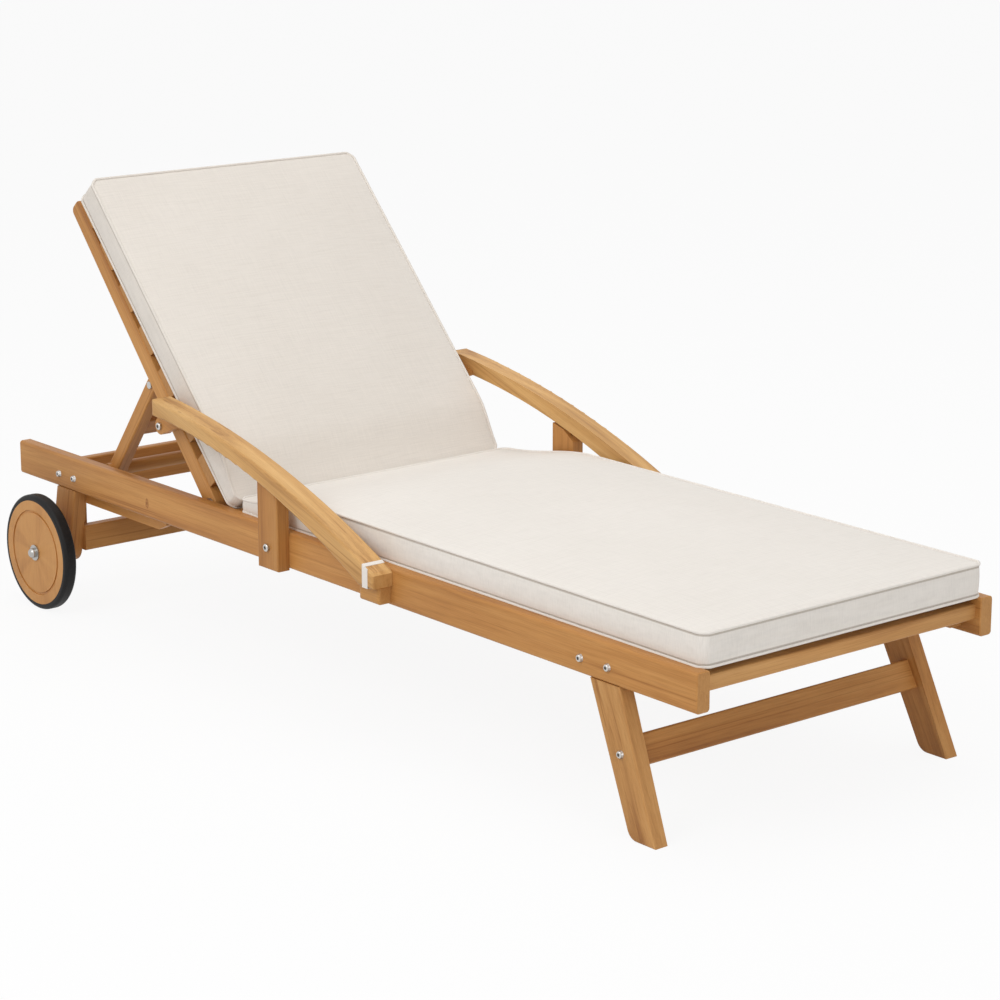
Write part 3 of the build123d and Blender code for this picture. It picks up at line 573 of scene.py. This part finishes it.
def bolt_cap(work, middle, side, radius):
    """Domed ring with a hexagon socket on the end of one bolt; the socket floor takes the second
    material, painted shade.
    """
    turns = [math.tau * step / HEAD_STEPS for step in range(HEAD_STEPS)]
    flat = SOCKET_SHARE * radius * math.cos(math.pi / 6)
    hexagon = [flat / math.cos((turn % (math.pi / 3)) - math.pi / 6) for turn in turns]
    rings = [([share * radius] * HEAD_STEPS, height) for share, height in HEAD_RINGS]
    rings += [(hexagon, SOCKET_TOP), (hexagon, SOCKET_FLOOR)]
    loops = []
    for reaches, height in rings:
        loop = []
        for reach, turn in zip(reaches, turns):
            offset = Vector((side * height * radius, reach * math.cos(turn), reach * math.sin(turn)))
            loop.append(work.verts.new(middle + offset))
        loops.append(loop)
    join_loops(work, loops)
    # The socket floor gets the dark steel: painted shade in the recess
    floor = work.faces.new(loops[-1])
    floor.material_index = 1


def make_bolt_caps():
    """Button heads with hexagon sockets on the ends of the bolts that show; the socket floors are
    dark steel, painted shade.
    """
    bright = steel("bolt_head_steel", HEAD_STEEL, 0.20)
    socket_shade = steel("bolt_socket_painted_shade", SOCKET_PAINTED_SHADE, 0.45)
    for name, body in BOLT_BODIES:
        work = bmesh.new()
        for places in islands(bpy.data.objects[name].data):
            middle, side, radius = head_face(places)
            if abs(middle.x) > SHOWN_FROM and radius < LARGEST_HEAD:
                bolt_cap(work, middle, side, radius)
        bmesh.ops.recalc_face_normals(work, faces=work.faces)
        mesh = bpy.data.meshes.new(f"{name}_heads")
        work.to_mesh(mesh)
        work.free()
        for look in (bright, socket_shade):
            mesh.materials.append(look)
        piece = bpy.data.objects.new(f"{name}_heads", mesh)
        SCENE.collection.objects.link(piece)
        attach(piece, body)


def rounded(x, y, half_length):
    """Pull a point of a rectangle's grid in so that the corners become round."""
    corner_x = HALF_WIDTH - CORNER
    corner_y = half_length - CORNER
    a = (abs(x) - corner_x) / CORNER
    b = (abs(y) - corner_y) / CORNER
    if a <= 0 or b <= 0:
        return x, y
    round_x = a * math.sqrt(1 - b * b / 2)
    round_y = b * math.sqrt(1 - a * a / 2)
    return (
        math.copysign(corner_x + round_x * CORNER, x),
        math.copysign(corner_y + round_y * CORNER, y),
    )


def spaced(half, cells):
    """Even places from -half to half, with one at each start of a corner."""
    inner = half - CORNER
    places = [-half + CORNER * step / CORNER_CELLS for step in range(CORNER_CELLS)]
    places += [-inner + 2 * inner * step / cells for step in range(cells + 1)]
    places += [inner + CORNER * step / CORNER_CELLS for step in range(1, CORNER_CELLS + 1)]
    return places


def cushion_shell(name, length):
    """Closed box of cloth: top and bottom panels and a border between the two seams."""
    half_length = length / 2
    xs = spaced(HALF_WIDTH, round(2 * (HALF_WIDTH - CORNER) / CELL))
    ys = spaced(half_length, round(2 * (half_length - CORNER) / CELL))
    work = bmesh.new()
    seam_shade_mask = work.verts.layers.float.new("seam")
    panels = []
    for height in (0.0, BORDER):
        grid = [[work.verts.new((*rounded(x, y, half_length), height)) for x in xs] for y in ys]
        panels.append(grid)
    seam_loops = []
    for grid in panels:
        loop = [grid[0][i] for i in range(len(xs))]
        loop += [grid[j][-1] for j in range(1, len(ys))]
        loop += [grid[-1][i] for i in range(len(xs) - 2, -1, -1)]
        loop += [grid[j][0] for j in range(len(ys) - 2, 0, -1)]
        seam_loops.append(loop)
    for grid, flip in zip(panels, (True, False)):
        for j in range(len(ys) - 1):
            for i in range(len(xs) - 1):
                corners = [grid[j][i], grid[j][i + 1], grid[j + 1][i + 1], grid[j + 1][i]]
                work.faces.new(corners[::-1] if flip else corners)
    rings = [seam_loops[0]]
    for row in range(1, BORDER_ROWS):
        share = row / BORDER_ROWS
        rings.append([work.verts.new(low.co.lerp(high.co, share)) for low, high in zip(*seam_loops)])
    rings.append(seam_loops[1])
    join_loops(work, rings)
    work.verts.index_update()
    seams = [[vertex.index for vertex in loop] for loop in seam_loops]
    # Seam mask, which gives the cloth its painted shade beside the piping
    for vertex in (*seam_loops[0], *seam_loops[1]):
        vertex[seam_shade_mask] = 1.0
    bmesh.ops.recalc_face_normals(work, faces=work.faces)
    mesh = bpy.data.meshes.new(name)
    work.to_mesh(mesh)
    work.free()
    shell = bpy.data.objects.new(name, mesh)
    SCENE.collection.objects.link(shell)
    return shell, seams


def inflate(shell, seams):
    """Blow the shell up as cloth that is held along its seams, then keep the result."""
    held = shell.vertex_groups.new(name="held")
    held.add(seams[0] + seams[1], 1.0, "REPLACE")
    cloth = shell.modifiers.new("cloth", "CLOTH")
    settings = cloth.settings
    settings.vertex_group_mass = "held"
    settings.use_pressure = True
    settings.uniform_pressure_force = CLOTH_PRESSURE
    settings.tension_stiffness = CLOTH_STIFFNESS
    settings.compression_stiffness = CLOTH_STIFFNESS
    settings.shear_stiffness = CLOTH_SHEAR
    settings.bending_stiffness = CLOTH_BENDING
    settings.quality = CLOTH_QUALITY
    settings.effector_weights.gravity = 0
    cloth.point_cache.frame_start = 1
    cloth.point_cache.frame_end = CLOTH_FRAMES
    for step in range(1, CLOTH_FRAMES + 1):
        SCENE.frame_set(step)
    graph = bpy.context.evaluated_depsgraph_get()
    swollen = bpy.data.meshes.new_from_object(shell.evaluated_get(graph))
    places = [vertex.co.copy() for vertex in swollen.vertices]
    shell.modifiers.clear()
    for vertex, place in zip(shell.data.vertices, places):
        vertex.co = place
    SCENE.frame_set(1)


def shape_cushion(shell, length, belly, seed):
    """Bring the swollen panels to their real crown, belly and softly rounded border."""
    top = max(vertex.co.z for vertex in shell.data.vertices) - BORDER
    low = -min(vertex.co.z for vertex in shell.data.vertices)
    half_length = length / 2
    for vertex in shell.data.vertices:
        x, y, z = vertex.co
        wobble = noise.noise(Vector((x * 5 + seed, y * 5, z * 8)))
        fine = noise.noise(Vector((x * 16, y * 16 + seed, z * 20)))
        if z > BORDER + FLAT:
            share = (z - BORDER) / max(top, MM)
            uneven = (wobble * WOBBLE + fine * RIPPLE) * MM * share ** DENT_POWER
            z = BORDER + share ** CROWN_POWER * CROWN + uneven
        elif z < -FLAT:
            share = -z / max(low, MM)
            z = -(share ** CROWN_POWER) * belly
        else:
            rise = math.sin(math.pi * min(max(z / BORDER, 0), 1))
            kept_x = max(-HALF_WIDTH, min(HALF_WIDTH, x))
            kept_y = max(-half_length, min(half_length, y))
            edge_x, edge_y = rounded(kept_x, kept_y, half_length)
            soft = BORDER_SWELL * rise * (1 + 0.5 * wobble)
            outwards = Vector((edge_x / HALF_WIDTH, edge_y / half_length))
            outwards = Vector((round(outwards.x ** 9, 4), round(outwards.y ** 9, 4)))
            if outwards.length > 0:
                outwards.normalize()
            x = edge_x + outwards.x * soft
            y = edge_y + outwards.y * soft
        vertex.co = (x, y, z)


def piping_tube(name, mesh, loop, material):
    """Round piping along one seam, with the small unevenness of a sewn edge."""
    curve = bpy.data.curves.new(name, "CURVE")
    curve.dimensions = "3D"
    curve.bevel_depth = PIPING
    curve.bevel_resolution = 3
    spline = curve.splines.new("NURBS")
    spline.points.add(len(loop) - 1)
    for point, index in zip(spline.points, loop):
        place = mesh.vertices[index].co
        shake = noise.noise(place * 30) * PIPING_SHAKE
        point.co = (place.x, place.y, place.z + shake, 1)
    spline.use_cyclic_u = True
    spline.order_u = 3
    carrier = bpy.data.objects.new(f"{name}_path", curve)
    SCENE.collection.objects.link(carrier)
    graph = bpy.context.evaluated_depsgraph_get()
    tube = bpy.data.meshes.new_from_object(carrier.evaluated_get(graph))
    bpy.data.objects.remove(carrier)
    for polygon in tube.polygons:
        polygon.use_smooth = True
    tube.materials.clear()
    tube.materials.append(material)
    piece = bpy.data.objects.new(name, tube)
    SCENE.collection.objects.link(piece)
    return piece


def eased(share):
    """Smooth step from 0 to 1."""
    held = min(max(share, 0), 1)
    return held * held * (3 - 2 * held)


def settle_back(mesh):
    """Pinch the back pad at its lower end, and rest its underside on the slats."""
    for vertex in mesh.vertices:
        place = vertex.co
        share = place.y / BACK_LENGTH + 0.5
        low = BACK_LIFT[0] + (BACK_LIFT[1] - BACK_LIFT[0]) * share
        full = eased(share * BACK_LENGTH / BACK_PINCH)
        thick = BACK_THICK[0] + (BACK_THICK[1] - BACK_THICK[0]) * full
        inside = min(max(place.z, 0), BORDER)
        place.z = low + inside / BORDER * thick + (place.z - inside)
        if abs(place.x) < SLATS_HALF and share < 1 - CORNER / BACK_LENGTH:
            place.z = max(place.z, SLATS_TOP - BACK_LOW)


def settle_seat(mesh):
    """Flatten the head end of the seat pad, which the back pad presses."""
    for vertex in mesh.vertices:
        full = eased((SEAT_LENGTH / 2 - vertex.co.y) / SEAT_END_LENGTH)
        if vertex.co.z > 0:
            vertex.co.z *= SEAT_END_SQUASH + (1 - SEAT_END_SQUASH) * full


def make_cushion(name, node, body, length, placing, turn, belly, seed, settle, base):
    """Whole cushion: shell, swelling, shaping, two runs of piping and subdivision."""
    shell, seams = cushion_shell(name, length)
    inflate(shell, seams)
    shape_cushion(shell, length, belly, seed)
    settle(shell.data)
    cloth = linen(f"{name}_linen", turn, base=base)
    cord = linen(f"{name}_piping_linen", turn, 0.5, base)
    trims = [
        piping_tube(f"{name}_piping_{side}", shell.data, loop, cord)
        for side, loop in zip(("lower", "upper"), seams)
    ]
    smooth = shell.modifiers.new("smooth", "SUBSURF")
    smooth.levels = smooth.render_levels = 1
    graph = bpy.context.evaluated_depsgraph_get()
    shell.data = bpy.data.meshes.new_from_object(shell.evaluated_get(graph))
    shell.modifiers.clear()
    for polygon in shell.data.polygons:
        polygon.use_smooth = True
    shell.data.materials.clear()
    shell.data.materials.append(cloth)
    for piece in [shell, *trims]:
        piece.data.transform(placing)
        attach(piece, body)
    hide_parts(node)


def make_cushions():
    """The seat pad on the slats, and the back pad along the tilted back."""
    seat = Matrix.Translation((SEAT_SHIFT, SEAT_START + SEAT_LENGTH / 2, SEAT_LOW))
    seat @= Matrix.Diagonal((SEAT_WIDENED, 1, 1, 1))
    make_cushion(
        "seat_pad",
        "seat_cushion",
        "frame",
        length=SEAT_LENGTH,
        placing=seat,
        turn=(0, 0, 0),
        belly=SEAT_BELLY,
        seed=1.0,
        settle=settle_seat,
        base=LINEN,
    )
    middle = BACK_START + BACK_LENGTH / 2
    tilt = Matrix.Rotation(BACK_ANGLE, 4, "X")
    back = Matrix.Translation(HINGE) @ tilt @ Matrix.Translation((BACK_SHIFT, middle, BACK_LOW))
    make_cushion(
        "back_pad",
        "back_cushion",
        "back",
        length=BACK_LENGTH,
        placing=back,
        turn=(-BACK_ANGLE, 0, 0),
        belly=BACK_BELLY,
        seed=7.0,
        settle=settle_back,
        # painted shade: a darker copy of the seat's linen
        base=SHADED_BACK_LINEN,
    )


def seen_directly(tree):
    """Socket that is 1 where the camera, a reflection or a refraction looks, and 0 elsewhere."""
    path = tree.nodes.new("ShaderNodeLightPath")
    total = path.outputs["Is Camera Ray"]
    for kind in ("Is Glossy Ray", "Is Transmission Ray"):
        added = tree.nodes.new("ShaderNodeMath")
        added.operation = "MAXIMUM"
        tree.links.new(total, added.inputs[0])
        tree.links.new(path.outputs[kind], added.inputs[1])
        total = added.outputs[0]
    return total


def make_floor():
    """Pale floor that looks white and keeps a faint soft shadow of the lounger."""
    bpy.ops.mesh.primitive_plane_add(size=FLOOR_SIZE, location=(0, 0, 0))
    floor = bpy.context.object
    floor.name = "studio_floor"
    shade = Shade("studio_floor_paint")
    shade.look(Base_Color=FLOOR_PAINT, Roughness=0.9, Specular_IOR_Level=0.0)
    tree = shade.tree
    white = shade.node("ShaderNodeEmission", Color=WHITE, Strength=FLOOR_WHITE)
    share = shade.math("MULTIPLY", seen_directly(tree), 1 - SHADOW_SHARE)
    mixed = shade.node("ShaderNodeMixShader")
    shade.put(mixed, "0", share)
    tree.links.new(shade.shader.outputs[0], mixed.inputs[1])
    tree.links.new(white.outputs[0], mixed.inputs[2])
    output = next(node for node in tree.nodes if node.type == "OUTPUT_MATERIAL")
    tree.links.new(mixed.outputs[0], output.inputs[0])
    floor.data.materials.append(shade.material)


def make_world():
    """Even surroundings: white to look at, and a plain level of light on the lounger."""
    world = bpy.data.worlds.new("studio")
    world.use_nodes = True
    tree = world.node_tree
    light = tree.nodes["Background"]
    light.inputs[0].default_value = WHITE
    light.inputs[1].default_value = WORLD_LIGHT
    white = tree.nodes.new("ShaderNodeBackground")
    white.inputs[0].default_value = WHITE
    white.inputs[1].default_value = FLOOR_WHITE
    mixed = tree.nodes.new("ShaderNodeMixShader")
    tree.links.new(seen_directly(tree), mixed.inputs[0])
    tree.links.new(light.outputs[0], mixed.inputs[1])
    tree.links.new(white.outputs[0], mixed.inputs[2])
    tree.links.new(mixed.outputs[0], tree.nodes["World Output"].inputs[0])
    SCENE.world = world


def make_studio():
    """Floor, surroundings, and large soft lights from the near side, above and the foot end."""
    make_floor()
    make_world()
    for name, place, size, power in LAMPS:
        data = bpy.data.lights.new(name, "AREA")
        data.shape = "DISK"
        data.size = size
        data.energy = power
        lamp = bpy.data.objects.new(name, data)
        lamp.location = place
        lamp.rotation_euler = (LIT_POINT - Vector(place)).to_track_quat("-Z", "Y").to_euler()
        SCENE.collection.objects.link(lamp)
    SCENE.view_settings.view_transform = "Standard"


def make_camera():
    """Camera that looks at the lounger as the photograph does."""
    data = bpy.data.cameras.new("camera")
    data.sensor_width = SENSOR
    data.lens = CAMERA_LENS
    data.clip_end = 100
    camera = bpy.data.objects.new("camera", data)
    camera.location = CAMERA_PLACE
    camera.rotation_euler = (math.radians(90 - CAMERA_DOWN), 0, math.radians(CAMERA_TURN))
    SCENE.collection.objects.link(camera)
    SCENE.camera = camera


make_camera()
dress_frame()
trim_leg("front_leg_left", 1)
trim_leg("front_leg_right", -1)
make_bolt_caps()
make_cushions()
make_studio()
